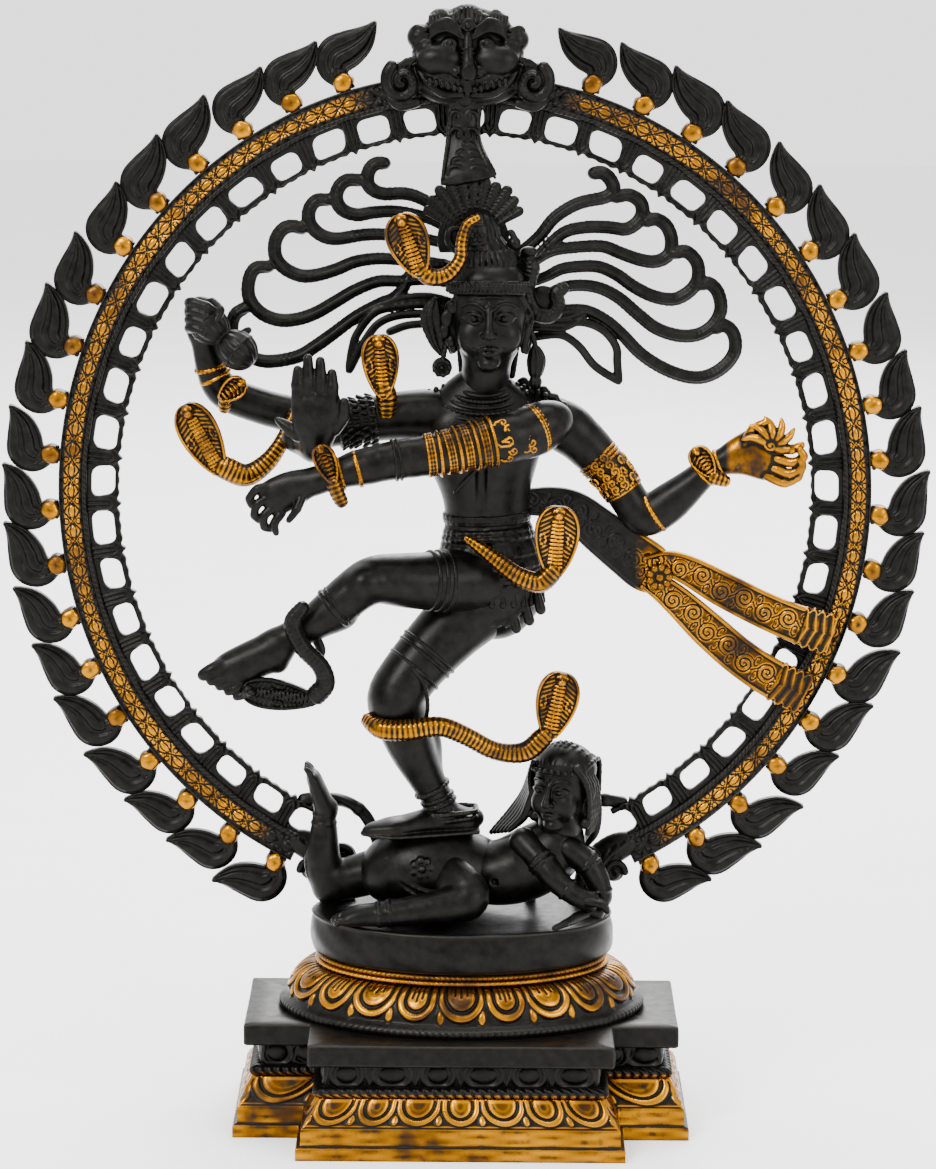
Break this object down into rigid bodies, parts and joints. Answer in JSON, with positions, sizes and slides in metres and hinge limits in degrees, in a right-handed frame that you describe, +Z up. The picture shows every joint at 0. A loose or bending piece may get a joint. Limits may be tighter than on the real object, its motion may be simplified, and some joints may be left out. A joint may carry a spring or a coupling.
{
  "type": "dancing deity statue",
  "caption": "Four-armed dancer in black and gilt brass, one leg raised over a crouching dwarf, inside a ring of flames on a lotus and stepped pedestal.",
  "frame": {"origin": "centre of the pedestal's footprint, on the surface it stands on", "axes": "+Z up, -Y towards the viewer the dancer faces, +X to that viewer's right"},
  "size_m": [0.584, 0.202, 0.697],
  "materials": {
    "dark_patina": "satin black patina over cast brass",
    "gilded_brass": "burnished brass with dark wax in the grooves",
    "steel": "zinc plated"
  },
  "bodies": {
    "root": {"armlets": "gilded_brass", "bead_collar": "dark_patina", "blessing_arm": "dark_patina", "cobra_bracelets": "gilded_brass", "cobra_crown": "gilded_brass", "cobra_elbow": "gilded_brass", "cobra_knee": "gilded_brass", "cobra_raised_leg": "dark_patina", "cobra_shoulder": "gilded_brass", "cobra_waist": "gilded_brass", "crossing_arm": "dark_patina", "crown": "dark_patina", "crown_feathers": "dark_patina", "drum_arm": "dark_patina", "dwarf_arms": "dark_patina", "dwarf_chest": "dark_patina", "dwarf_folded_leg": "dark_patina", "dwarf_head": "dark_patina", "dwarf_hips": "dark_patina", "dwarf_raised_leg": "dark_patina", "ear_drops": "dark_patina", "flame_arm": "dark_patina", "flame_studs": "gilded_brass", "flames_left": "dark_patina", "flames_right": "dark_patina", "hair_locks_left": "dark_patina", "hair_locks_right": "dark_patina", "hand_drum": "dark_patina", "head": "dark_patina", "jewelled_belt": "dark_patina", "leg_bands": "dark_patina", "lion_mask": "dark_patina", "lion_tongue": "dark_patina", "lotus_drum": "dark_patina", "necklace": "dark_patina", "oval_seat": "dark_patina", "plinth_band": "dark_patina", "plinth_cap": "dark_patina", "plinth_foot": "gilded_brass", "plinth_rope": "dark_patina", "raised_leg": "dark_patina", "ring_band": "gilded_brass", "ring_foot_left": "dark_patina", "ring_foot_right": "dark_patina", "ring_lattice": "dark_patina", "ring_stay_left": "dark_patina", "ring_stay_right": "dark_patina", "sash_root": "dark_patina", "sash_tail_lower": "gilded_brass", "sash_tail_upper": "gilded_brass", "serpent_hair": "dark_patina", "standing_leg": "dark_patina", "tie_bolts": "steel", "tie_nuts": "steel", "tie_washers": "steel", "torso": "dark_patina", "waist_cord": "dark_patina"}
  },
  "joints": []
}
